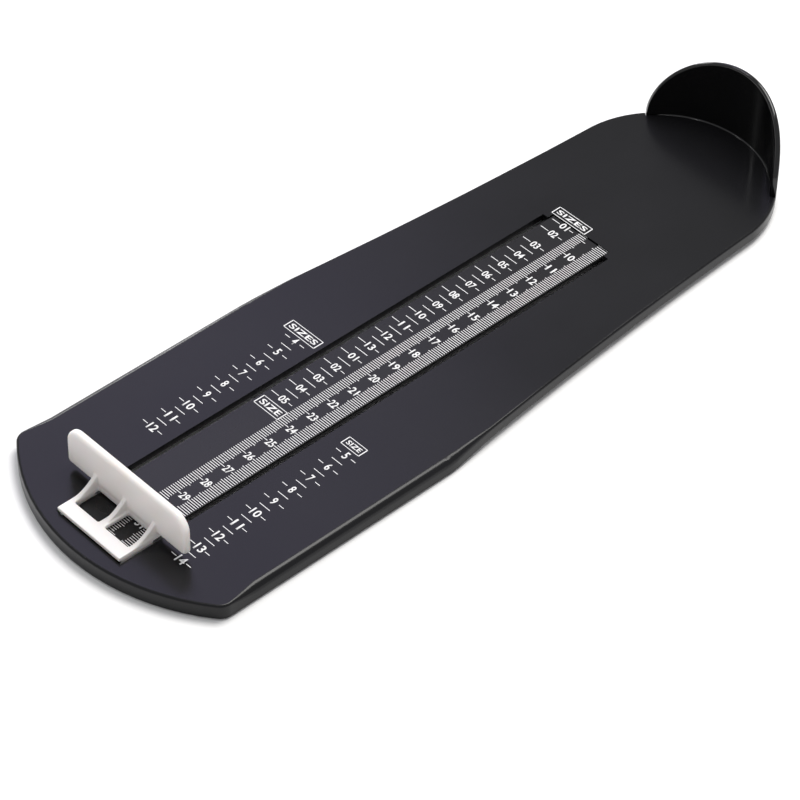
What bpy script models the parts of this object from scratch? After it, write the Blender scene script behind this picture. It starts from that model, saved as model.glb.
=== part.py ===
"""Foot length gauge: a moulded foot plate with a heel cup, a printed scale strip and a sliding toe stop.

The heel end points to +Y, the foot's left and right are along X, and the rubber feet stand on z = 0.
"""

import math

import bmesh
import bpy
from mathutils import Matrix, Vector

mm = 0.001
gap = 0.3 * mm  # clearance between pieces that touch
inset = 0.2 * mm  # how far a shape stops short of the face of the one it joins

# Foot plate, seen from above. Distances "from heel" start at the back of the heel cup.
plate_length = 337.2 * mm
plate_half_width = 56.7 * mm
toe_arc_radius = 87.0 * mm
toe_corner_radius = 6.0 * mm
heel_radius = 43.2 * mm
shoulder_from_heel = 209.0 * mm
shoulder_radius = 60.0 * mm
flare_slope = 0.045

# Foot plate, heights.
plate_top = 7.0 * mm
plate_thickness = 2.6 * mm
skirt_wall = 2.2 * mm
toe_skirt_depth = 6.2 * mm
heel_skirt_depth = 4.5 * mm
skirt_blend = 20.0 * mm
edge_round = 1.0 * mm
side_round = 3.0 * mm
side_round_blend = 12.0 * mm

# Slots for the toe stop, and the scale strip between them.
slot_width = 2.8 * mm
slot_heel_end = 91.9 * mm
slot_toe_margin = 7.6 * mm
strip_width = 29.4 * mm
strip_thickness = 0.6 * mm
strip_recess = 0.5 * mm
strip_overrun = 3.2 * mm  # how far the strip runs past the slots towards the heel

# Ribs under the plate.
rib_width = 1.4 * mm
strip_rib_depth = 3.0 * mm
rail_depth = 2.6 * mm
rail_overrun = 8.0 * mm
cross_rib_depth = 1.6 * mm
cross_rib_from_foot = 11.0 * mm

# Heel cup.
cup_wall = 2.2 * mm
cup_height = 31.5 * mm
cup_front = 18.5 * mm
cup_flange_width = 9.0 * mm
cup_screw_angles = (-38.0, 0.0, 38.0)

# Screws that hold the heel cup from below.
screw_radius = 1.3 * mm
screw_head_radius = 2.4 * mm
screw_head_height = 1.1 * mm
screw_bite = 1.6 * mm

# Toe stop: fence, windowed grip and legs. The rest place of its measuring face is counted from the toe.
fence_from_toe = 27.4 * mm
fence_half_width = 31.8 * mm
fence_thickness = 3.0 * mm
fence_height = 19.7 * mm
fence_clearance = 2.8 * mm
fence_corner_radius = 6.5 * mm
fence_foot_radius = 1.8 * mm
fence_toe_round = 1.3 * mm
fence_heel_round = 0.5 * mm
grip_length = 16.7 * mm
grip_lift = 0.4 * mm
grip_thickness = 1.7 * mm
grip_bar_width = 6.0 * mm
grip_side_width = 2.2 * mm
grip_side_overhang = 0.2 * mm
grip_middle_width = 3.4 * mm
gusset_height = 8.0 * mm
gusset_thickness = 1.8 * mm
leg_thickness = 1.6 * mm
leg_length = 14.0 * mm
barb_height = 1.1 * mm
barb_reach = 0.8 * mm

# Shoes that the legs snap through, under the plate.
shoe_width = 7.6 * mm
shoe_length = 17.0 * mm
shoe_thickness = 1.5 * mm

# Rubber feet.
foot_radius = 5.5 * mm
foot_chamfer = 0.6 * mm
foot_to_skirt = 6.5 * mm
heel_foot_from_heel = 52.0 * mm
middle_foot_from_shoulder = 23.0 * mm
toe_foot_from_toe = 29.2 * mm

# Places that follow from the sizes above.
plate_underside = plate_top - plate_thickness
strip_top = plate_top - strip_recess
strip_underside = strip_top - strip_thickness
bed_top = strip_underside - gap
slot_inner = strip_width / 2
slot_middle = slot_inner + slot_width / 2
slot_outer = slot_inner + slot_width
slot_toe_end = plate_length - slot_toe_margin
strip_heel_end = slot_heel_end - strip_overrun
strip_floor = plate_underside - strip_rib_depth
heel_skirt_bottom = plate_top - heel_skirt_depth
flange_top = plate_underside - gap
leg_inner = slot_inner + gap
leg_outer = leg_inner + leg_thickness
grip_half_width = leg_outer + grip_side_overhang
shoe_top = plate_underside - gap
shoe_bottom = shoe_top - shoe_thickness
barb_top = shoe_bottom - gap
fence_face = plate_length - fence_from_toe
fence_back = fence_face + fence_thickness
grip_end = fence_back + grip_length
grip_bottom = plate_top + grip_lift
grip_top = grip_bottom + grip_thickness
leg_end = grip_end - (grip_length - leg_length) / 2
strip_rib_x = slot_middle - shoe_width / 2 - 2 * gap - rib_width / 2
rail_x = slot_middle + shoe_width / 2 + 2 * gap + rib_width / 2
middle_foot_from_heel = shoulder_from_heel - middle_foot_from_shoulder
toe_foot_from_heel = plate_length - toe_foot_from_toe


def along(from_heel):
    """World Y of a place measured from the back of the heel cup."""
    return plate_length / 2 - from_heel


def smooth_step(value, low, high):
    share = min(1.0, max(0.0, (value - low) / (high - low)))
    return share * share * (3 - 2 * share)


def arc(centre_x, centre_y, radius, start, end, steps):
    """Points on an arc, both ends included; angles in degrees."""
    points = []
    for i in range(steps + 1):
        angle = math.radians(start + (end - start) * i / steps)
        points.append((centre_x + radius * math.cos(angle), centre_y + radius * math.sin(angle)))
    return points


def round_corner(before, corner, after, radius, steps):
    """Arc that rounds the corner of two straight lines."""
    to_before = (Vector(before) - Vector(corner)).normalized()
    to_after = (Vector(after) - Vector(corner)).normalized()
    half_angle = to_before.angle(to_after) / 2
    centre = Vector(corner) + (to_before + to_after).normalized() * radius / math.sin(half_angle)
    start = Vector(corner) + to_before * radius / math.tan(half_angle) - centre
    end = Vector(corner) + to_after * radius / math.tan(half_angle) - centre
    turn = start.angle_signed(end)
    points = []
    for i in range(steps + 1):
        spoke = Matrix.Rotation(-turn * i / steps, 2) @ start
        points.append(tuple(centre + spoke))
    return points


# ---------------------------------------------------------------- building blocks


def clear_scene():
    for obj in list(bpy.data.objects):
        bpy.data.objects.remove(obj, do_unlink=True)


def new_collection(name):
    collection = bpy.data.collections.new(name)
    bpy.context.scene.collection.children.link(collection)
    return collection


def new_material(name, colour, roughness, metallic=0.0):
    material = bpy.data.materials.new(name)
    material.use_nodes = True
    shader = material.node_tree.nodes["Principled BSDF"]
    shader.inputs["Base Color"].default_value = (*colour, 1.0)
    shader.inputs["Roughness"].default_value = roughness
    shader.inputs["Metallic"].default_value = metallic
    return material


def object_from_bmesh(name, mesh_data, collection):
    bmesh.ops.recalc_face_normals(mesh_data, faces=mesh_data.faces)
    mesh = bpy.data.meshes.new(name)
    mesh_data.to_mesh(mesh)
    mesh_data.free()
    obj = bpy.data.objects.new(name, mesh)
    collection.objects.link(obj)
    return obj


def block(name, low, high, collection):
    """Box between two opposite corners."""
    centre = (Vector(low) + Vector(high)) / 2
    size = Vector(high) - Vector(low)
    data = bmesh.new()
    bmesh.ops.create_cube(data, size=1.0)
    bmesh.ops.scale(data, vec=size, verts=data.verts)
    bmesh.ops.translate(data, vec=centre, verts=data.verts)
    return object_from_bmesh(name, data, collection)


def pin(name, radius, bottom, top, x, y, collection):
    """Upright cylinder."""
    data = bmesh.new()
    bmesh.ops.create_cone(data, cap_ends=True, segments=24, radius1=radius, radius2=radius, depth=top - bottom)
    bmesh.ops.translate(data, vec=(x, y, (bottom + top) / 2), verts=data.verts)
    return object_from_bmesh(name, data, collection)


def turned(name, profile, x, y, collection):
    """Shape turned about an upright axis, from (radius, height) points that run from top to bottom."""
    data = bmesh.new()
    points = [data.verts.new((radius, 0.0, height)) for radius, height in profile]
    for first, second in zip(points, points[1:]):
        data.edges.new((first, second))
    mesh = bpy.data.meshes.new(name)
    data.to_mesh(mesh)
    data.free()
    obj = bpy.data.objects.new(name, mesh)
    obj.location = (x, y, 0.0)
    collection.objects.link(obj)
    screw = obj.modifiers.new("Turn", "SCREW")
    screw.steps = 24
    screw.render_steps = 24
    screw.use_merge_vertices = True
    screw.merge_threshold = 0.001 * mm
    return obj


def sheet_from_outlines(name, outlines, thickness, placement, collection):
    """Flat outline, with any holes after it, given a thickness about its own plane and placed by a matrix."""
    curve = bpy.data.curves.new(name, "CURVE")
    curve.dimensions = "2D"
    curve.fill_mode = "BOTH"
    curve.extrude = thickness / 2
    for outline in outlines:
        spline = curve.splines.new("POLY")
        spline.points.add(len(outline) - 1)
        for point, place in zip(spline.points, outline):
            point.co = (place[0], place[1], 0.0, 1.0)
        spline.use_cyclic_u = True
    source = bpy.data.objects.new(name + "_curve", curve)
    source.matrix_world = placement
    collection.objects.link(source)
    bpy.context.view_layer.update()
    evaluated = source.evaluated_get(bpy.context.evaluated_depsgraph_get())
    mesh = bpy.data.meshes.new_from_object(evaluated)
    mesh.transform(source.matrix_world)
    data = bmesh.new()
    data.from_mesh(mesh)
    bmesh.ops.remove_doubles(data, verts=data.verts, dist=0.001 * mm)
    bpy.data.meshes.remove(mesh)
    bpy.data.objects.remove(source, do_unlink=True)
    return object_from_bmesh(name, data, collection)


def loft(name, sections, collection):
    """Closed skin through closed sections with the same number of points, with a cap on both ends."""
    data = bmesh.new()
    loops = []
    for section in sections:
        loops.append([data.verts.new(point) for point in section])
    count = len(loops[0])
    for first, second in zip(loops, loops[1:]):
        for i in range(count):
            following = (i + 1) % count
            data.faces.new((first[i], first[following], second[following], second[i]))
    data.faces.new(loops[0])
    data.faces.new(loops[-1])
    return object_from_bmesh(name, data, collection)


def combine(obj, others, operation):
    """Join other shapes to an object, or cut them from it, and remove them."""
    for other in others:
        modifier = obj.modifiers.new(operation.title(), "BOOLEAN")
        modifier.operation = operation
        modifier.solver = "EXACT"
        modifier.object = other
        bpy.context.view_layer.update()
        evaluated = obj.evaluated_get(bpy.context.evaluated_depsgraph_get())
        result = bpy.data.meshes.new_from_object(evaluated)
        obj.modifiers.clear()
        old = obj.data
        obj.data = result
        bpy.data.meshes.remove(old)
        bpy.data.objects.remove(other, do_unlink=True)


def finish_surface(obj, material):
    obj.data.materials.clear()
    obj.data.materials.append(material)
    obj.data.shade_smooth()
    obj.data.set_sharp_from_angle(angle=math.radians(35))


# ---------------------------------------------------------------- foot plate


def plate_outline():
    """Closed outline of the plate as (x, from heel), and the share of the large side rounding."""
    right = arc(0.0, heel_radius, heel_radius, -90, 0, 18)
    flare_length = shoulder_from_heel - heel_radius
    rise = plate_half_width - heel_radius - flare_slope * flare_length
    flare = []
    for i in range(1, 9):
        run = flare_length * i / 8
        width = heel_radius + flare_slope * run + rise * (run / flare_length) ** 2
        flare.append((width, heel_radius + run))
    corner_x = plate_half_width - toe_corner_radius
    arc_centre = plate_length - toe_arc_radius
    corner_rise = math.sqrt((toe_arc_radius - toe_corner_radius) ** 2 - corner_x**2)
    corner_y = arc_centre + corner_rise
    corner_angle = math.degrees(math.atan2(corner_rise, corner_x))
    side_end = (plate_half_width, corner_y)
    shoulder = round_corner(flare[-2], flare[-1], side_end, shoulder_radius, 4)
    right += flare[:-1]
    right += shoulder
    side_run = corner_y - shoulder[-1][1]
    right += [(plate_half_width, shoulder[-1][1] + side_run * share) for share in (0.08, 0.5, 0.88)]
    right += arc(corner_x, corner_y, toe_corner_radius, 0, corner_angle, 5)
    right += arc(0.0, arc_centre, toe_arc_radius, corner_angle, 90, 10)[1:]
    left = [(-x, y) for x, y in right[-2:0:-1]]
    return right + left, corner_y


def inward(outline):
    """Unit vectors that point into the outline at each of its points."""
    normals = []
    count = len(outline)
    for i in range(count):
        before = Vector(outline[i - 1])
        after = Vector(outline[(i + 1) % count])
        edge = (after - before).normalized()
        normals.append(Vector((-edge.y, edge.x)))
    return normals


def make_foot_plate(parts, cutters):
    outline, corner_from_heel = plate_outline()
    normals = inward(outline)

    def section(inset_at, height_at):
        points = []
        for (x, from_heel), normal in zip(outline, normals):
            inset = inset_at(from_heel)
            points.append((x + normal.x * inset, along(from_heel + normal.y * inset), height_at(from_heel)))
        return points

    def rounding(from_heel):
        start = smooth_step(from_heel, shoulder_from_heel - side_round_blend, shoulder_from_heel)
        end = smooth_step(from_heel, corner_from_heel - side_round_blend, corner_from_heel)
        return edge_round + (side_round - edge_round) * start * (1 - end)

    def skirt_bottom(from_heel):
        share = smooth_step(from_heel, shoulder_from_heel - skirt_blend, shoulder_from_heel)
        return plate_top - heel_skirt_depth - (toe_skirt_depth - heel_skirt_depth) * share

    sections = [
        section(lambda _: skirt_wall, lambda _: plate_underside),
        section(lambda _: skirt_wall, skirt_bottom),
        section(lambda _: 0.0, skirt_bottom),
    ]
    steps = 4
    for i in range(steps + 1):
        angle = math.pi / 2 * i / steps
        sections.append(
            section(
                lambda place: rounding(place) * (1 - math.cos(angle)),
                lambda place: plate_top - rounding(place) * (1 - math.sin(angle)),
            )
        )
    plate = loft("foot_plate", sections, parts)
    combine(plate, plate_ribs(cutters), "UNION")
    combine(plate, plate_cuts(cutters), "DIFFERENCE")
    return plate


def plate_ribs(cutters):
    """Ribs under the strip bed, rails outside the slots and short ribs from the rails to the skirt."""
    root = plate_underside + 0.3 * mm
    near_end = along(slot_toe_end + 2 * mm)
    far_end = along(slot_heel_end - rail_overrun)
    crossings = [slot_heel_end]
    for foot in (middle_foot_from_heel, toe_foot_from_heel):
        crossings += [foot - cross_rib_from_foot, foot + cross_rib_from_foot]
    ribs = []
    for x in (-strip_rib_x, 0.0, strip_rib_x):
        low = (x - rib_width / 2, near_end, strip_floor)
        ribs.append(block("strip_rib", low, (x + rib_width / 2, far_end, root), cutters))
    for side in (-1, 1):
        middle = side * rail_x
        low = (middle - rib_width / 2, near_end, plate_underside - rail_depth)
        ribs.append(block("rail", low, (middle + rib_width / 2, far_end, root), cutters))
        for from_heel in crossings:
            outer = half_width_at(from_heel) - skirt_wall / 2
            ends = sorted((side * rail_x, side * outer))
            low = (ends[0], along(from_heel) - rib_width / 2, plate_underside - cross_rib_depth)
            ribs.append(block("cross_rib", low, (ends[1], low[1] + rib_width, root), cutters))
    return ribs


def half_width_at(from_heel):
    """Half the plate's width at a place along it."""
    outline, _ = plate_outline()
    right = [point for point in outline if point[0] >= 0]
    right.sort(key=lambda point: point[1])
    for first, second in zip(right, right[1:]):
        if first[1] <= from_heel <= second[1] and second[1] > first[1]:
            share = (from_heel - first[1]) / (second[1] - first[1])
            return first[0] + (second[0] - first[0]) * share
    return plate_half_width


def plate_cuts(cutters):
    """Two slots, the strip's recess, the room for the cup's wall and the cup screws' blind holes."""
    above = plate_top + 2 * mm
    below = -2 * mm
    toe_y = along(slot_toe_end)
    heel_y = along(slot_heel_end)
    cuts = []
    for side in (-1, 1):
        ends = sorted((side * slot_inner, side * slot_outer))
        cuts.append(block("slot", (ends[0], toe_y, below), (ends[1], heel_y, above), cutters))
    reach = slot_inner + gap
    cuts.append(block("recess", (-reach, toe_y + gap / 3, bed_top), (reach, along(strip_heel_end), above), cutters))
    cuts.append(cup_room(cutters))
    for x, y in cup_screw_places():
        bore = screw_radius + gap
        cuts.append(pin("pilot", bore, below, plate_underside + screw_bite + gap, x, y, cutters))
    return cuts


def make_scale_strip(parts):
    low = (-slot_inner, along(slot_toe_end - gap), strip_underside)
    high = (slot_inner, along(strip_heel_end + gap), strip_top)
    return block("scale_strip", low, high, parts)


# ---------------------------------------------------------------- heel cup


def cup_end_share():
    """How far round the heel circle the cup's ends lie, as 1 - cos of their angle."""
    middle_radius = heel_radius - cup_wall / 2
    return (cup_front - cup_wall / 2) / middle_radius


def cup_angle(turn):
    """Angle from the heel's back where the rim has cos(turn) of its full height."""
    angle = math.acos(1 - cup_end_share() * math.sin(turn) ** 2)
    return math.copysign(angle, turn)


def on_heel_circle(radius, angle, height):
    x = radius * math.sin(angle)
    from_heel = heel_radius - radius * math.cos(angle)
    return (x, along(from_heel), height)


def cup_room(cutters):
    """Ring sector that the cup's wall needs, cut from the plate's heel end."""
    inner = heel_radius - cup_wall - gap
    outer = heel_radius + 2 * mm
    end = cup_angle(math.pi / 2) + gap / heel_radius
    steps = 30
    sections = []
    for i in range(steps + 1):
        angle = -end + 2 * end * i / steps
        corners = ((inner, -2 * mm), (outer, -2 * mm), (outer, plate_top + 2 * mm), (inner, plate_top + 2 * mm))
        sections.append([on_heel_circle(radius, angle, height) for radius, height in corners])
    return loft("cup_room", sections, cutters)


def cup_screw_places():
    radius = heel_radius - cup_wall - cup_flange_width / 2
    places = []
    for degrees in cup_screw_angles:
        x, y, _ = on_heel_circle(radius, math.radians(degrees), 0.0)
        places.append((x, y))
    return places


def make_heel_cup(parts, cutters):
    """Wall with a round rim that falls away to both ends, on a flange that lies under the plate."""
    flange_inner = heel_radius - cup_wall - cup_flange_width
    wall_inner = heel_radius - cup_wall
    rim_radius = cup_wall / 2
    rim_middle = heel_radius - rim_radius
    steps = 48
    sections = []
    for i in range(steps + 1):
        turn = -math.pi / 2 + math.pi * i / steps
        angle = cup_angle(turn)
        rim = plate_top + cup_height * math.cos(turn)
        profile = [
            (flange_inner, flange_top),
            (flange_inner, heel_skirt_bottom),
            (heel_radius, heel_skirt_bottom),
        ]
        for j in range(7):
            lean = math.pi * j / 6
            height = rim - rim_radius + rim_radius * math.sin(lean)
            profile.append((rim_middle + rim_radius * math.cos(lean), height))
        profile.append((wall_inner, flange_top))
        sections.append([on_heel_circle(radius, angle, height) for radius, height in profile])
    cup = loft("heel_cup", sections, parts)
    holes = []
    for x, y in cup_screw_places():
        holes.append(pin("flange_hole", screw_radius + gap, -2 * mm, plate_top, x, y, cutters))
    combine(cup, holes, "DIFFERENCE")
    return cup


def make_cup_screws(parts, cutters):
    screws = []
    head_top = heel_skirt_bottom - gap
    for number, (x, y) in enumerate(cup_screw_places(), start=1):
        name = "cup_screw_%d" % number
        chamfer = 0.4 * mm
        head_bottom = head_top - screw_head_height
        profile = [
            (0.0, plate_underside + screw_bite),
            (screw_radius, plate_underside + screw_bite),
            (screw_radius, head_top),
            (screw_head_radius, head_top),
            (screw_head_radius, head_bottom + chamfer),
            (screw_head_radius - chamfer, head_bottom),
            (0.0, head_bottom),
        ]
        screw = turned(name, profile, x, y, parts)
        slot_low = (x - 1.6 * mm, y - 0.3 * mm, head_bottom - mm)
        slot_high = (x + 1.6 * mm, y + 0.3 * mm, head_bottom + 0.5 * mm)
        cross_low = (x - 0.3 * mm, y - 1.6 * mm, head_bottom - mm)
        cross_high = (x + 0.3 * mm, y + 1.6 * mm, head_bottom + 0.5 * mm)
        cross = block("drive", slot_low, slot_high, cutters)
        combine(cross, [block("drive_across", cross_low, cross_high, cutters)], "UNION")
        combine(screw, [cross], "DIFFERENCE")
        screws.append(screw)
    return screws


# ---------------------------------------------------------------- toe stop


def make_toe_stop(parts, cutters):
    """One moulding: fence, windowed grip with three curved gussets, and two barbed legs."""
    fence_low = plate_top + fence_clearance
    sections = []
    steps = 3
    for i in range(steps + 1):
        angle = math.pi / 2 * i / steps
        lean = fence_heel_round * (1 - math.sin(angle))
        sections.append(fence_section(lean, fence_face + fence_heel_round * (1 - math.cos(angle))))
    for i in range(steps + 1):
        angle = math.pi / 2 * i / steps
        lean = fence_toe_round * (1 - math.cos(angle))
        sections.append(fence_section(lean, fence_back - fence_toe_round * (1 - math.sin(angle))))
    stop = loft("toe_stop", sections, parts)

    web_x = grip_half_width - inset
    web_low = (-web_x, along(fence_back - inset), grip_bottom + inset / 2)
    web_high = (web_x, along(fence_face + inset), fence_low + mm)
    pieces = [block("web", web_low, web_high, cutters), grip_frame(cutters)]
    for side in (-1, 1):
        pieces += leg_with_barb(side, cutters)
        pieces.append(gusset(side * (grip_half_width - gusset_thickness / 2 - inset), cutters))
    pieces.append(gusset(0.0, cutters))
    combine(stop, pieces, "UNION")
    return stop


def fence_section(lean, from_heel):
    """Outline of the fence, drawn in by a distance all round, at one place along the plate."""
    low = plate_top + fence_clearance + lean
    high = plate_top + fence_height - lean
    edge = fence_half_width - lean
    foot = round_corner((0, low), (edge, low), (edge, high), fence_foot_radius - lean, 4)
    top = round_corner((edge, low), (edge, high), (0, high), fence_corner_radius - lean, 8)
    right = foot + top
    left = [(-x, height) for x, height in reversed(right)]
    return [(x, along(from_heel), height) for x, height in right + left]


def grip_frame(cutters):
    """Flat frame with two windows, from inside the fence to the bar that the finger pulls."""
    heel_end = along(fence_face + fence_thickness / 4)
    toe_end = along(grip_end)
    bar = along(grip_end - grip_bar_width)
    back = along(fence_back - inset / 2)
    outlines = [rectangle(-grip_half_width, toe_end, grip_half_width, heel_end)]
    edge = grip_half_width - grip_side_width
    outlines.append(rectangle(-edge, bar, -grip_middle_width / 2, back))
    outlines.append(rectangle(grip_middle_width / 2, bar, edge, back))
    flat = Matrix.Translation((0, 0, (grip_bottom + grip_top) / 2))
    return sheet_from_outlines("grip_frame", outlines, grip_thickness, flat, cutters)


def rectangle(left, near, right, far):
    return [(left, near), (right, near), (right, far), (left, far)]


def gusset(x, cutters):
    """Fin with a concave edge, from the fence down to the grip's bar."""
    foot = fence_back + grip_length - grip_bar_width + 1.0 * mm
    reach = foot - fence_back
    base = grip_bottom + grip_thickness / 2
    top = plate_top + gusset_height
    outline = [(fence_back - fence_thickness / 2, base), (foot + mm, base)]
    steps = 8
    for i in range(steps + 1):
        share = i / steps
        outline.append((foot - reach * share, grip_top + (top - grip_top) * share**2.2))
    outline.append((fence_back - fence_thickness / 2, top))
    points = [(along(from_heel), height) for from_heel, height in outline]
    upright = Matrix(((0, 0, 1, x), (1, 0, 0, 0), (0, 1, 0, 0), (0, 0, 0, 1)))
    return sheet_from_outlines("gusset", [points], gusset_thickness, upright, cutters)


def leg_with_barb(side, cutters):
    toe_y = along(leg_end)
    heel_y = along(leg_end - leg_length)
    bottom = barb_top - barb_height
    ends = sorted((side * leg_inner, side * leg_outer))
    leg = block("leg", (ends[0], toe_y, bottom), (ends[1], heel_y, grip_bottom + mm), cutters)
    ends = sorted((side * (leg_inner + inset), side * (leg_outer + barb_reach)))
    barb = block("barb", (ends[0], toe_y + mm, bottom + inset), (ends[1], heel_y - mm, barb_top), cutters)
    return [leg, barb]


def make_shoe(name, side, parts, cutters):
    """Wear shoe under one slot, with a hole that the leg passes through."""
    middle = (leg_end - leg_length / 2)
    low = (side * slot_middle - shoe_width / 2, along(middle + shoe_length / 2), shoe_bottom)
    high = (side * slot_middle + shoe_width / 2, along(middle - shoe_length / 2), shoe_top)
    shoe = block(name, low, high, parts)
    ends = sorted((side * (leg_inner - gap), side * (leg_outer + gap)))
    hole_low = (ends[0], along(leg_end + gap), -mm)
    hole_high = (ends[1], along(leg_end - leg_length - gap), plate_top)
    combine(shoe, [block("leg_hole", hole_low, hole_high, cutters)], "DIFFERENCE")
    return shoe


# ---------------------------------------------------------------- rubber feet


def make_feet(parts):
    profile = [
        (0.0, flange_top),
        (foot_radius, flange_top),
        (foot_radius, foot_chamfer),
        (foot_radius - foot_chamfer, 0.0),
        (0.0, 0.0),
    ]
    feet = []
    for from_heel in (heel_foot_from_heel, middle_foot_from_heel, toe_foot_from_heel):
        aside = half_width_at(from_heel) - skirt_wall - foot_to_skirt - foot_radius
        for x in (-aside, aside):
            feet.append(turned("foot_%d" % (len(feet) + 1), profile, x, along(from_heel), parts))
    return feet


def main():
    clear_scene()
    parts = new_collection("foot_length_gauge")
    cutters = new_collection("cutters")

    moulding = new_material("plate_black", (0.045, 0.044, 0.058), 0.42)
    gloss = new_material("cup_black", (0.012, 0.012, 0.014), 0.12)
    printed = new_material("strip_black", (0.03, 0.03, 0.034), 0.5)
    ivory = new_material("stop_ivory", (0.78, 0.76, 0.74), 0.35)
    shoe_grey = new_material("shoe_grey", (0.5, 0.5, 0.48), 0.45)
    rubber = new_material("rubber_black", (0.02, 0.02, 0.02), 0.8)
    steel = new_material("screw_steel", (0.55, 0.55, 0.57), 0.3, 1.0)

    finish_surface(make_foot_plate(parts, cutters), moulding)
    finish_surface(make_scale_strip(parts), printed)
    finish_surface(make_heel_cup(parts, cutters), gloss)
    for screw in make_cup_screws(parts, cutters):
        finish_surface(screw, steel)
    for foot in make_feet(parts):
        finish_surface(foot, rubber)

    slide = bpy.data.objects.new("toe_stop_slide", None)
    slide.location = (0.0, along(fence_face), plate_top)
    parts.objects.link(slide)
    bpy.context.view_layer.update()
    moving = [make_toe_stop(parts, cutters)]
    moving.append(make_shoe("shoe_left", -1, parts, cutters))
    moving.append(make_shoe("shoe_right", 1, parts, cutters))
    for piece, material in zip(moving, (ivory, shoe_grey, shoe_grey)):
        finish_surface(piece, material)
        piece.parent = slide
        piece.matrix_parent_inverse = slide.matrix_world.inverted()


main()
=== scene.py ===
import math

import bmesh
import bpy
from mathutils import Matrix, Vector


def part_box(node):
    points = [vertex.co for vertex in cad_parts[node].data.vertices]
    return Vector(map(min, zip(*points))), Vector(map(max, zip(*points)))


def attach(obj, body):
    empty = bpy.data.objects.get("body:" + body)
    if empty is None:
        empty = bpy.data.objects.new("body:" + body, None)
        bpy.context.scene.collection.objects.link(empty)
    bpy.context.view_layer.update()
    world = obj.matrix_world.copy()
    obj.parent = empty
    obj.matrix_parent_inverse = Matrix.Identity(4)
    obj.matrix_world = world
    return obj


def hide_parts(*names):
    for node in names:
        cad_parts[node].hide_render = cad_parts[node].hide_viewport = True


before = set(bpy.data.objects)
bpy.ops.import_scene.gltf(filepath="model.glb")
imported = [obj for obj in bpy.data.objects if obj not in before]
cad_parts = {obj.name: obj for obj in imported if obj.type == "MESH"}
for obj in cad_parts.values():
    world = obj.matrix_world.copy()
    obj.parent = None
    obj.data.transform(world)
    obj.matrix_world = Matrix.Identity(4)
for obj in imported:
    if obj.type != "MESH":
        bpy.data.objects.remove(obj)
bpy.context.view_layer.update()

mm = 0.001
print("frame loaded:", len(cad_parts), "nodes")

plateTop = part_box("foot_plate")[1][2]
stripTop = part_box("scale_strip")[1][2]
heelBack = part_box("heel_cup")[1][1]


def fromHeel(distance):  # world Y of a place measured along the plate from the back of the heel cup
    return heelBack - distance * mm


# camera, floor and lights

cameraLook = {
    "azimuth": 46.27, "elevation": 43.49, "roll": 1.24,  # degrees
    "distance": 1.2437, "lens": 155.5, "sensor": 36.0,
    "target": (0.0216, -0.0342, 0.0070),
}
floorLook = {"size": 6.0, "color": (0.93, 0.93, 0.93), "roughness": 0.9}
worldLook = {"color": (0.98, 0.985, 1.0), "strength": 0.58}
lampLook = {
    "rearTop": {
        "place": (-0.02, 0.5, 1.35), "aim": (0.0, 0.0, 0.0),
        "size": 0.85, "power": 17.0, "color": (1.0, 0.985, 0.96),
    },
    "leftBack": {
        "place": (-0.8, 0.44, 1.0), "aim": (0.0, -0.05, 0.0),
        "size": 0.62, "power": 1.3, "color": (0.655, 0.585, 1.0),
    },
    "leftLow": {
        "place": (-1.35, 0.62, 0.68), "aim": (0.0, -0.1, 0.0),
        "size": 0.35, "power": 4.0, "color": (1.0, 1.0, 1.0),
    },
    "sparkOne": {
        "place": (-0.08, -0.32, 1.37), "aim": (0.0, 0.15, 0.0),
        "size": 0.12, "power": 0.4, "color": (1.0, 1.0, 1.0),
    },
    "sparkTwo": {
        "place": (-0.75, -0.36, 1.17), "aim": (0.0, 0.15, 0.0),
        "size": 0.12, "power": 0.4, "color": (1.0, 1.0, 1.0),
    },
    "sparkThree": {
        "place": (-1.03, -0.3, 0.98), "aim": (0.0, 0.15, 0.0),
        "size": 0.12, "power": 0.4, "color": (1.0, 1.0, 1.0),
    },
}


def makeCamera():
    azimuth = math.radians(cameraLook["azimuth"])
    elevation = math.radians(cameraLook["elevation"])
    roll = math.radians(cameraLook["roll"])
    back = Vector((math.sin(azimuth) * math.cos(elevation), -math.cos(azimuth) * math.cos(elevation),
                   math.sin(elevation)))
    right = Vector((math.cos(azimuth), math.sin(azimuth), 0.0))
    up = back.cross(right)
    tiltedRight = right * math.cos(roll) + up * math.sin(roll)
    tiltedUp = up * math.cos(roll) - right * math.sin(roll)
    data = bpy.data.cameras.new("viewCamera")
    data.lens = cameraLook["lens"]
    data.sensor_width = cameraLook["sensor"]
    data.clip_end = 20.0
    camera = bpy.data.objects.new("viewCamera", data)
    axes = Matrix((tiltedRight, tiltedUp, back)).transposed().to_4x4()
    place = Vector(cameraLook["target"]) + back * cameraLook["distance"]
    camera.matrix_world = Matrix.Translation(place) @ axes
    bpy.context.scene.collection.objects.link(camera)
    bpy.context.scene.camera = camera


def makeFloor():
    data = bmesh.new()
    bmesh.ops.create_grid(data, x_segments=2, y_segments=2, size=floorLook["size"] / 2)
    mesh = bpy.data.meshes.new("paleFloor")
    data.to_mesh(mesh)
    data.free()
    floor = bpy.data.objects.new("paleFloor", mesh)
    bpy.context.scene.collection.objects.link(floor)
    material = bpy.data.materials.new("floorPaper")
    material.use_nodes = True
    shader = material.node_tree.nodes["Principled BSDF"]
    shader.inputs["Base Color"].default_value = (*floorLook["color"], 1.0)
    shader.inputs["Roughness"].default_value = floorLook["roughness"]
    mesh.materials.append(material)


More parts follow.
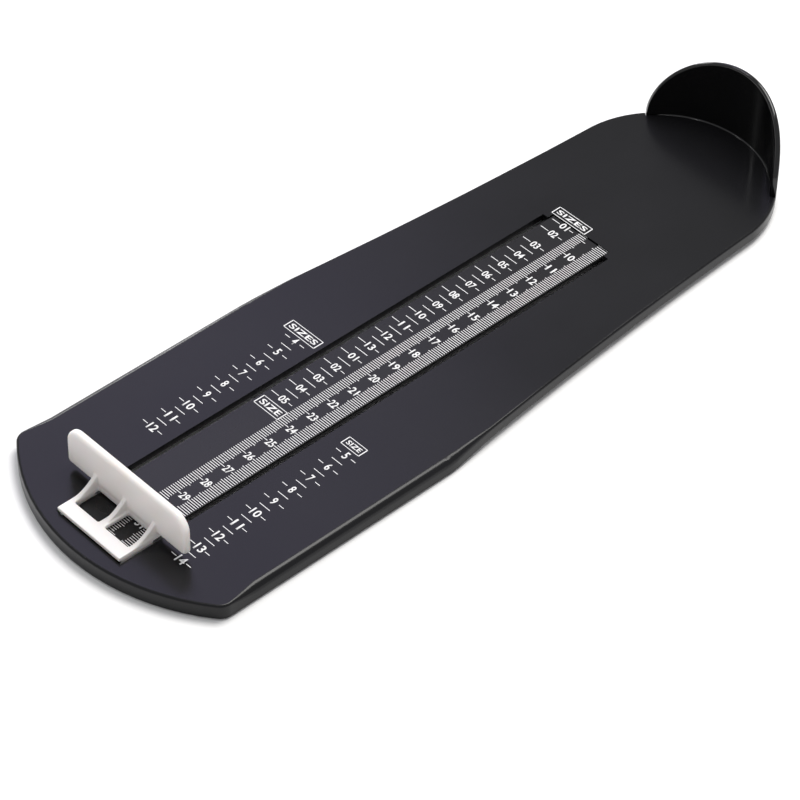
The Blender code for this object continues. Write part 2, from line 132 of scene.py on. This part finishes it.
def makeLights():
    world = bpy.data.worlds.new("softRoom")
    world.use_nodes = True
    background = world.node_tree.nodes["Background"]
    background.inputs["Color"].default_value = (*worldLook["color"], 1.0)
    background.inputs["Strength"].default_value = worldLook["strength"]
    bpy.context.scene.world = world
    for name, look in lampLook.items():
        data = bpy.data.lights.new(name, "AREA")
        data.shape = "DISK"
        data.size = look["size"]
        data.energy = look["power"]
        data.color = look["color"]
        lamp = bpy.data.objects.new(name, data)
        aim = Vector(look["aim"]) - Vector(look["place"])
        turn = aim.to_track_quat("-Z", "Y").to_matrix().to_4x4()
        lamp.matrix_world = Matrix.Translation(look["place"]) @ turn
        bpy.context.scene.collection.objects.link(lamp)


makeCamera()
makeFloor()
makeLights()
bpy.context.scene.view_settings.view_transform = "Standard"
print("camera, floor and lights made")


# finishes

finishes = {
    "platePlastic": {
        "color": (0.0045, 0.0045, 0.0052), "paleColor": (0.006, 0.006, 0.0072), "roughness": 0.24,
        "grain": 900.0, "grainDepth": 0.04, "cloud": 14.0, "specular": 0.25,
    },
    "stripPlastic": {
        "color": (0.007, 0.007, 0.0075), "paleColor": (0.0085, 0.0085, 0.0092), "roughness": 0.27,
        "grain": 1200.0, "grainDepth": 0.03, "cloud": 20.0, "specular": 0.27,
    },
    # same black plastic as the plate: the low roughness is its real gloss, but the darker colour is
    # painted shade of the cup's hollow
    "cupGlossPaintedShade": {
        "color": (0.0018, 0.0018, 0.002), "paleColor": (0.0028, 0.0028, 0.003), "roughness": 0.09,
        "grain": 160.0, "grainDepth": 0.02, "cloud": 24.0, "specular": 0.5,
    },
    "ivoryPlastic": {
        "color": (0.80, 0.765, 0.74), "paleColor": (0.86, 0.83, 0.815), "roughness": 0.34,
        "grain": 700.0, "grainDepth": 0.02, "cloud": 30.0, "specular": 0.5, "glow": 0.22,
    },
    "whiteInk": {
        "color": (0.80, 0.80, 0.80), "paleColor": (0.88, 0.88, 0.88), "roughness": 0.5,
        "grain": 1800.0, "grainDepth": 0.02, "cloud": 300.0, "specular": 0.4,
    },
    "greyShoe": {
        "color": (0.42, 0.42, 0.40), "paleColor": (0.52, 0.52, 0.50), "roughness": 0.45,
        "grain": 900.0, "grainDepth": 0.03, "cloud": 60.0, "specular": 0.5,
    },
    "blackRubber": {
        "color": (0.012, 0.012, 0.012), "paleColor": (0.022, 0.022, 0.022), "roughness": 0.78,
        "grain": 1400.0, "grainDepth": 0.15, "cloud": 90.0, "specular": 0.35,
    },
}


def makePlastic(name):
    look = finishes[name]
    material = bpy.data.materials.new(name)
    material.use_nodes = True
    nodes = material.node_tree.nodes
    links = material.node_tree.links
    shader = nodes["Principled BSDF"]
    place = nodes.new("ShaderNodeTexCoord")
    cloud = nodes.new("ShaderNodeTexNoise")  # slow changes of shade over the moulding
    cloud.inputs["Scale"].default_value = look["cloud"]
    cloud.inputs["Detail"].default_value = 5.0
    links.new(place.outputs["Object"], cloud.inputs["Vector"])
    shade = nodes.new("ShaderNodeValToRGB")
    shade.color_ramp.elements[0].position = 0.35
    shade.color_ramp.elements[0].color = (*look["color"], 1.0)
    shade.color_ramp.elements[1].position = 0.68
    shade.color_ramp.elements[1].color = (*look["paleColor"], 1.0)
    links.new(cloud.outputs["Fac"], shade.inputs["Fac"])
    links.new(shade.outputs["Color"], shader.inputs["Base Color"])
    polish = nodes.new("ShaderNodeMapRange")  # handling leaves some spots smoother than others
    polish.inputs["From Min"].default_value = 0.3
    polish.inputs["From Max"].default_value = 0.7
    polish.inputs["To Min"].default_value = look["roughness"] * 0.9
    polish.inputs["To Max"].default_value = look["roughness"] * 1.12
    links.new(cloud.outputs["Fac"], polish.inputs["Value"])
    links.new(polish.outputs["Result"], shader.inputs["Roughness"])
    grain = nodes.new("ShaderNodeTexNoise")
    grain.inputs["Scale"].default_value = look["grain"]
    grain.inputs["Detail"].default_value = 3.0
    links.new(place.outputs["Object"], grain.inputs["Vector"])
    bump = nodes.new("ShaderNodeBump")
    bump.inputs["Strength"].default_value = look["grainDepth"]
    bump.inputs["Distance"].default_value = 0.0003
    links.new(grain.outputs["Fac"], bump.inputs["Height"])
    links.new(bump.outputs["Normal"], shader.inputs["Normal"])
    shader.inputs["Specular IOR Level"].default_value = look["specular"]
    if "glow" in look:  # light that soaks into a pale plastic
        shader.inputs["Subsurface Weight"].default_value = look["glow"]
        shader.inputs["Subsurface Radius"].default_value = (0.0035, 0.0022, 0.0014)
        shader.inputs["Subsurface Scale"].default_value = 1.0
    return material


def makeScrewSteel():
    material = bpy.data.materials.new("screwSteel")
    material.use_nodes = True
    nodes = material.node_tree.nodes
    links = material.node_tree.links
    shader = nodes["Principled BSDF"]
    shader.inputs["Metallic"].default_value = 1.0
    place = nodes.new("ShaderNodeTexCoord")
    brush = nodes.new("ShaderNodeTexNoise")
    brush.inputs["Scale"].default_value = 900.0
    links.new(place.outputs["Object"], brush.inputs["Vector"])
    shade = nodes.new("ShaderNodeValToRGB")
    shade.color_ramp.elements[0].color = (0.42, 0.42, 0.43, 1.0)
    shade.color_ramp.elements[1].color = (0.66, 0.66, 0.68, 1.0)
    links.new(brush.outputs["Fac"], shade.inputs["Fac"])
    links.new(shade.outputs["Color"], shader.inputs["Base Color"])
    worn = nodes.new("ShaderNodeMapRange")
    worn.inputs["To Min"].default_value = 0.24
    worn.inputs["To Max"].default_value = 0.42
    links.new(brush.outputs["Fac"], worn.inputs["Value"])
    links.new(worn.outputs["Result"], shader.inputs["Roughness"])
    bump = nodes.new("ShaderNodeBump")
    bump.inputs["Strength"].default_value = 0.12
    bump.inputs["Distance"].default_value = 0.00005
    links.new(brush.outputs["Fac"], bump.inputs["Height"])
    links.new(bump.outputs["Normal"], shader.inputs["Normal"])
    return material


materials = {name: makePlastic(name) for name in finishes}
materials["screwSteel"] = makeScrewSteel()
print("materials made:", len(materials))


# what every piece needs


def linkPiece(name, mesh, material, body):
    piece = bpy.data.objects.new(name, mesh)
    bpy.context.scene.collection.objects.link(piece)
    mesh.materials.clear()
    mesh.materials.append(material)
    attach(piece, body)
    return piece


def mergedCopy(node):  # the CAD solid again with shared corners and whole flat faces
    data = bmesh.new()
    data.from_mesh(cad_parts[node].data)
    bmesh.ops.remove_doubles(data, verts=data.verts, dist=0.002 * mm)
    bmesh.ops.dissolve_limit(data, angle_limit=math.radians(0.4), verts=data.verts, edges=data.edges)
    return data


def bakeModifiers(source, name):
    bpy.context.view_layer.update()
    evaluated = source.evaluated_get(bpy.context.evaluated_depsgraph_get())
    mesh = bpy.data.meshes.new_from_object(evaluated)
    mesh.name = name
    bpy.data.objects.remove(source, do_unlink=True)
    return mesh


def temporaryObject(data, name):
    mesh = bpy.data.meshes.new(name)
    data.to_mesh(mesh)
    data.free()
    source = bpy.data.objects.new(name + "Source", mesh)
    bpy.context.scene.collection.objects.link(source)
    return source


def softenEdges(node, name, width, segments, angle):
    source = temporaryObject(mergedCopy(node), name)
    source.data.shade_smooth()
    bevel = source.modifiers.new("softEdge", "BEVEL")
    bevel.width = width
    bevel.segments = segments
    bevel.limit_method = "ANGLE"
    bevel.angle_limit = math.radians(angle)
    bevel.use_clamp_overlap = True
    weigh = source.modifiers.new("evenShade", "WEIGHTED_NORMAL")
    weigh.mode = "FACE_AREA"
    weigh.weight = 60
    return bakeModifiers(source, name)


# foot plate, heel cup and strip

edgeLook = {"plateEdge": 0.28 * mm, "cupEdge": 0.2 * mm, "stripEdge": 0.24 * mm}


def makePlate():
    mesh = softenEdges("foot_plate", "footPlate", edgeLook["plateEdge"], 3, 40)
    plate = linkPiece("footPlate", mesh, materials["platePlastic"], "base")
    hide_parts("foot_plate")


def makeCup():
    mesh = softenEdges("heel_cup", "heelCup", edgeLook["cupEdge"], 2, 50)
    cup = linkPiece("heelCup", mesh, materials["cupGlossPaintedShade"], "base")
    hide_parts("heel_cup")


def makeStrip():
    mesh = softenEdges("scale_strip", "scaleStrip", edgeLook["stripEdge"], 2, 40)
    strip = linkPiece("scaleStrip", mesh, materials["stripPlastic"], "base")
    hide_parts("scale_strip")


creaseLook = {
    "heelRadius": 43.2 * mm, "wall": 2.2 * mm, "fillet": 0.6 * mm, "sink": 0.2 * mm,
    "spread": 48, "taper": 10, "steps": 60,  # spread and taper in degrees
}


def makeCrease():  # rounded corner where the cup's wall rises from the plate
    data = bmesh.new()
    wall = creaseLook["heelRadius"] - creaseLook["wall"]
    sink = creaseLook["sink"]
    centre = Vector((0.0, heelBack - creaseLook["heelRadius"], 0.0))
    sections = []
    for i in range(creaseLook["steps"] + 1):
        turn = creaseLook["spread"] * (2 * i / creaseLook["steps"] - 1)
        fade = min(1.0, (creaseLook["spread"] - abs(turn)) / creaseLook["taper"])
        fillet = creaseLook["fillet"] * (0.15 + 0.85 * fade)
        profile = [(wall + sink, plateTop + fillet), (wall + sink, plateTop - sink)]
        profile.append((wall - fillet, plateTop - sink))
        for step in range(9):
            angle = math.radians(90 * step / 8)
            out = wall - fillet + fillet * math.sin(angle)
            profile.append((out, plateTop + fillet - fillet * math.cos(angle)))
        around = Vector((math.sin(math.radians(turn)), math.cos(math.radians(turn)), 0.0))
        ring = [centre + around * out + Vector((0, 0, up)) for out, up in profile]
        sections.append([data.verts.new(place) for place in ring])
    count = len(sections[0])
    for before, after in zip(sections, sections[1:]):
        for i in range(count):
            data.faces.new((before[i], before[(i + 1) % count], after[(i + 1) % count], after[i]))
    data.faces.new(sections[0])
    data.faces.new(reversed(sections[-1]))
    bmesh.ops.recalc_face_normals(data, faces=data.faces)
    mesh = bpy.data.meshes.new("cupCrease")
    data.to_mesh(mesh)
    data.free()
    mesh.shade_smooth()
    mesh.set_sharp_from_angle(angle=math.radians(50))
    crease = linkPiece("cupCrease", mesh, materials["cupGlossPaintedShade"], "base")


makePlate()
makeCup()
makeCrease()
makeStrip()
print("plate, cup and strip made")


# toe stop

stopLook = {"grid": 0.3 * mm, "smoothing": 5}


def makeStop():
    source = temporaryObject(mergedCopy("toe_stop"), "toeStop")
    remesh = source.modifiers.new("fillets", "REMESH")
    remesh.mode = "VOXEL"
    remesh.voxel_size = stopLook["grid"]
    smooth = source.modifiers.new("soften", "SMOOTH")
    smooth.factor = 0.5
    smooth.iterations = stopLook["smoothing"]
    mesh = bakeModifiers(source, "toeStop")
    mesh.shade_smooth()
    stop = linkPiece("toeStop", mesh, materials["ivoryPlastic"], "stop")
    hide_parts("toe_stop")
    print("toe stop faces:", len(mesh.polygons))


makeStop()


# printed scales, with places in mm: across the plate, and along it from the back of the cup

inkLook = {
    "thickness": 0.03 * mm, "line": 0.26 * mm, "boxLine": 0.4 * mm,
    "boxMargin": 2.2,  # mm between a legend's word and its box, both sides together
    "stroke": 0.018, "singleShare": 0.92,
}
scaleZero = 1.7  # mm from the back of the cup to the zero of the centimetre scale
centimetreScale = {
    "first": 87, "last": 322, "leftEdge": -0.7, "rightEdge": 14.3,
    "leftEnds": {"short": 3.4, "middle": 4.0, "long": 5.0},
    "rightEnds": {"short": 9.3, "middle": 8.8, "long": 8.6},
    "numbersFrom": 10, "numbersTo": 31, "numberX": 6.8, "numberHeight": 3.5, "numberWidth": 3.5,
}
sizePitch = 25.4 / 3  # mm from one shoe size to the next
sizeColumns = {
    "innerSizes": {
        "surface": "strip", "x": -7.0, "first": 106.4,
        "labels": [str(n) for n in (*range(3, 14), *range(1, 6))],
        "closer": {"01": 90.8, "02": 96.9},
        "digits": 2, "height": 3.4, "width": 3.7,
        "stubs": (-13.6, -9.6, -4.4, -2.4), "half": (-10.6, -4.0),
    },
    "leftSizes": {
        "surface": "plate", "x": -27.0, "first": 210.2, "labels": [str(n) for n in range(4, 13)],
        "digits": 1, "height": 3.7, "width": 3.9,
        "stubs": (-32.4, -29.8, -24.4, -22.0), "half": (-29.8, -24.4),
    },
    "rightSizes": {
        "surface": "plate", "x": 29.8, "first": 236.5, "labels": [str(n) for n in range(5, 15)],
        "digits": 1, "height": 3.7, "width": 3.9,
        "stubs": (24.6, 27.2, 32.4, 34.8), "half": (27.0, 32.4),
    },
}
legendBoxes = {
    "farLegend": {"surface": "plate", "middle": (-7.3, 86.4), "size": (17.4, 4.6), "word": "SIZES"},
    "innerLegend": {"surface": "strip", "middle": (-7.0, 239.6), "size": (12.6, 5.0), "word": "SIZE"},
    "leftLegend": {"surface": "plate", "middle": (-27.8, 205.3), "size": (16.4, 4.8), "word": "SIZES"},
    "rightLegend": {"surface": "plate", "middle": (28.3, 231.2), "size": (9.3, 4.4), "word": "SIZE"},
}
surfaceHeights = {"plate": plateTop, "strip": stripTop}


def makeTickTree():
    tree = bpy.data.node_groups.new("tickRow", "GeometryNodeTree")
    face = tree.interface
    face.new_socket("Geometry", in_out="INPUT", socket_type="NodeSocketGeometry")
    face.new_socket("Count", in_out="INPUT", socket_type="NodeSocketInt")
    face.new_socket("Start", in_out="INPUT", socket_type="NodeSocketVector")
    face.new_socket("Step", in_out="INPUT", socket_type="NodeSocketVector")
    face.new_socket("Tick Size", in_out="INPUT", socket_type="NodeSocketVector")
    face.new_socket("Ink", in_out="INPUT", socket_type="NodeSocketMaterial")
    face.new_socket("Geometry", in_out="OUTPUT", socket_type="NodeSocketGeometry")
    nodes = tree.nodes
    links = tree.links
    entry = nodes.new("NodeGroupInput")
    leave = nodes.new("NodeGroupOutput")
    row = nodes.new("GeometryNodeMeshLine")
    tick = nodes.new("GeometryNodeMeshCube")
    spread = nodes.new("GeometryNodeInstanceOnPoints")
    realize = nodes.new("GeometryNodeRealizeInstances")
    paint = nodes.new("GeometryNodeSetMaterial")
    links.new(entry.outputs["Count"], row.inputs["Count"])
    links.new(entry.outputs["Start"], row.inputs["Start Location"])
    links.new(entry.outputs["Step"], row.inputs["Offset"])
    links.new(entry.outputs["Tick Size"], tick.inputs["Size"])
    links.new(row.outputs["Mesh"], spread.inputs["Points"])
    links.new(tick.outputs["Mesh"], spread.inputs["Instance"])
    links.new(spread.outputs["Instances"], realize.inputs["Geometry"])
    links.new(realize.outputs["Geometry"], paint.inputs["Geometry"])
    links.new(entry.outputs["Ink"], paint.inputs["Material"])
    links.new(paint.outputs["Geometry"], leave.inputs["Geometry"])
    return tree


tickTree = makeTickTree()


def socketNames(tree):
    found = {}
    for item in tree.interface.items_tree:
        if item.in_out == "INPUT":
            found[item.name] = item.identifier
    return found


def tickRow(left, right, firstAt, spacing, count, height):
    values = {
        "Count": count,
        "Start": ((left + right) / 2 * mm, fromHeel(firstAt), height),
        "Step": (0.0, -spacing * mm, 0.0),
        "Tick Size": (abs(right - left) * mm, inkLook["line"], inkLook["thickness"]),
        "Ink": materials["whiteInk"],
    }
    source = bpy.data.objects.new("tickSource", bpy.data.meshes.new("tickSource"))
    bpy.context.scene.collection.objects.link(source)
    modifier = source.modifiers.new("ticks", "NODES")
    modifier.node_group = tickTree
    names = socketNames(tickTree)
    for name, value in values.items():
        modifier[names[name]] = value
    return bakeModifiers(source, "ticks")


def textMesh(text, middle, height, width, level):  # one word or number, fitted to its own height and width
    curve = bpy.data.curves.new("figure", "FONT")
    curve.body = text
    curve.size = 1.0
    curve.align_x = "CENTER"
    curve.resolution_u = 3
    curve.offset = inkLook["stroke"]
    source = bpy.data.objects.new("figure", curve)
    bpy.context.scene.collection.objects.link(source)
    mesh = bakeModifiers(source, "figure")
    xs = [v.co.x for v in mesh.vertices]
    ys = [v.co.y for v in mesh.vertices]
    spanX = max(xs) - min(xs)
    spanY = max(ys) - min(ys)
    centre = Vector(((max(xs) + min(xs)) / 2, (max(ys) + min(ys)) / 2, 0.0))
    scaleX = width * mm / spanX
    scaleY = height * mm / spanY
    place = Matrix.Translation((middle[0] * mm, fromHeel(middle[1]), level + inkLook["thickness"] / 2))
    mesh.transform(place @ Matrix.Diagonal((scaleX, scaleY, 1.0, 1.0)) @ Matrix.Translation(-centre))
    data = bmesh.new()
    data.from_mesh(mesh)
    bmesh.ops.remove_doubles(data, verts=data.verts, dist=0.0005 * mm)
    for f in data.faces:
        if f.normal.z < 0:
            f.normal_flip()
    sheet = bmesh.ops.extrude_face_region(data, geom=data.faces[:])
    low = [g for g in sheet["geom"] if isinstance(g, bmesh.types.BMVert)]
    bmesh.ops.translate(data, vec=(0, 0, -inkLook["thickness"]), verts=low)
    bmesh.ops.recalc_face_normals(data, faces=data.faces)
    data.to_mesh(mesh)
    data.free()
    return mesh


def gatherPiece(name, meshes):
    data = bmesh.new()
    for mesh in meshes:
        data.from_mesh(mesh)
        bpy.data.meshes.remove(mesh)
    mesh = bpy.data.meshes.new(name)
    data.to_mesh(mesh)
    data.free()
    return linkPiece(name, mesh, materials["whiteInk"], "base")


def numberWidth(text, look):
    if len(text) > 1:
        return look["width"]
    single = look["width"] / 2 * inkLook["singleShare"]
    if text == "1":
        return single / 2
    return single


def makeTickPair(kind, start, count):  # the same ticks along both edges of the scale
    look = centimetreScale
    at = start + scaleZero
    left = tickRow(look["leftEdge"], look["leftEnds"][kind], at, 1.0, count, stripTop)
    right = tickRow(look["rightEnds"][kind], look["rightEdge"], at, 1.0, count, stripTop)
    return [left, right]


def makeCentimetreScale():
    look = centimetreScale
    meshes = []
    for at in range(look["first"], look["last"] + 1):
        if at % 10 == 0:
            meshes += makeTickPair("long", at, 1)
        elif at % 5 == 0:
            meshes += makeTickPair("middle", at, 1)
    for group in range(look["first"] // 5, look["last"] // 5 + 1):
        start = max(group * 5 + 1, look["first"])
        count = min(group * 5 + 4, look["last"]) - start + 1
        if count > 0:
            meshes += makeTickPair("short", start, count)
    gatherPiece("centimetreTicks", meshes)
    numbers = []
    for n in range(look["numbersFrom"], look["numbersTo"] + 1):
        middle = (look["numberX"], n * 10 + scaleZero)
        numbers.append(textMesh(str(n), middle, look["numberHeight"], look["numberWidth"], stripTop))
    gatherPiece("centimetreNumbers", numbers)


def makeSizeColumn(name, look):
    level = surfaceHeights[look["surface"]]
    meshes = []
    count = len(look["labels"])
    outer, inner, innerTwo, outerTwo = look["stubs"]
    meshes.append(tickRow(outer, inner, look["first"], sizePitch, count, level))
    meshes.append(tickRow(innerTwo, outerTwo, look["first"], sizePitch, count, level))
    meshes.append(tickRow(*look["half"], look["first"] + sizePitch / 2, sizePitch, count - 1, level))
    for text, at in look.get("closer", {}).items():  # the smallest sizes crowd together under the legend
        meshes.append(tickRow(outer, inner, at, 1.0, 1, level))
        meshes.append(tickRow(innerTwo, outerTwo, at, 1.0, 1, level))
        meshes.append(textMesh(text, (look["x"], at), look["height"], look["width"], level))
    for i, label in enumerate(look["labels"]):
        text = label.zfill(look["digits"])
        middle = (look["x"], look["first"] + sizePitch * i)
        meshes.append(textMesh(text, middle, look["height"], numberWidth(text, look), level))
    gatherPiece(name, meshes)


def makeLegend(name, look):
    level = surfaceHeights[look["surface"]]
    (x, along), (width, depth) = look["middle"], look["size"]
    line = inkLook["boxLine"] / mm
    margin = inkLook["boxMargin"]
    meshes = [textMesh(look["word"], look["middle"], depth - margin, width - margin, level)]
    for edge in (along - depth / 2, along + depth / 2):
        meshes.append(tickRow(x - width / 2, x + width / 2, edge, 1.0, 1, level))
    for side in (x - width / 2, x + width / 2):
        row = tickRow(side - line / 2, side + line / 2, 0.0, 1.0, 1, level)
        data = bmesh.new()
        data.from_mesh(row)
        middle = Vector((side * mm, fromHeel(0.0), level))
        bmesh.ops.translate(data, vec=-middle, verts=data.verts)
        bmesh.ops.scale(data, vec=(1.0, depth * mm / inkLook["line"], 1.0), verts=data.verts)
        bmesh.ops.translate(data, vec=middle - Vector((0, along * mm, 0)), verts=data.verts)
        data.to_mesh(row)
        data.free()
        meshes.append(row)
    gatherPiece(name, meshes)


makeCentimetreScale()
for columnName, columnLook in sizeColumns.items():
    makeSizeColumn(columnName, columnLook)
for legendName, legendLook in legendBoxes.items():
    makeLegend(legendName, legendLook)
print("printed scales made")


# small parts that keep their own shape

smallParts = {"cup_screw": "screwSteel", "shoe": "greyShoe", "foot": "blackRubber"}


def dressSmallParts():
    for name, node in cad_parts.items():
        if name == "foot_plate":  # begins like the feet, and has its own piece
            continue
        for prefix, finish in smallParts.items():
            if name.startswith(prefix + "_"):
                node.data.materials.clear()
                node.data.materials.append(materials[finish])


dressSmallParts()
print("small parts dressed")
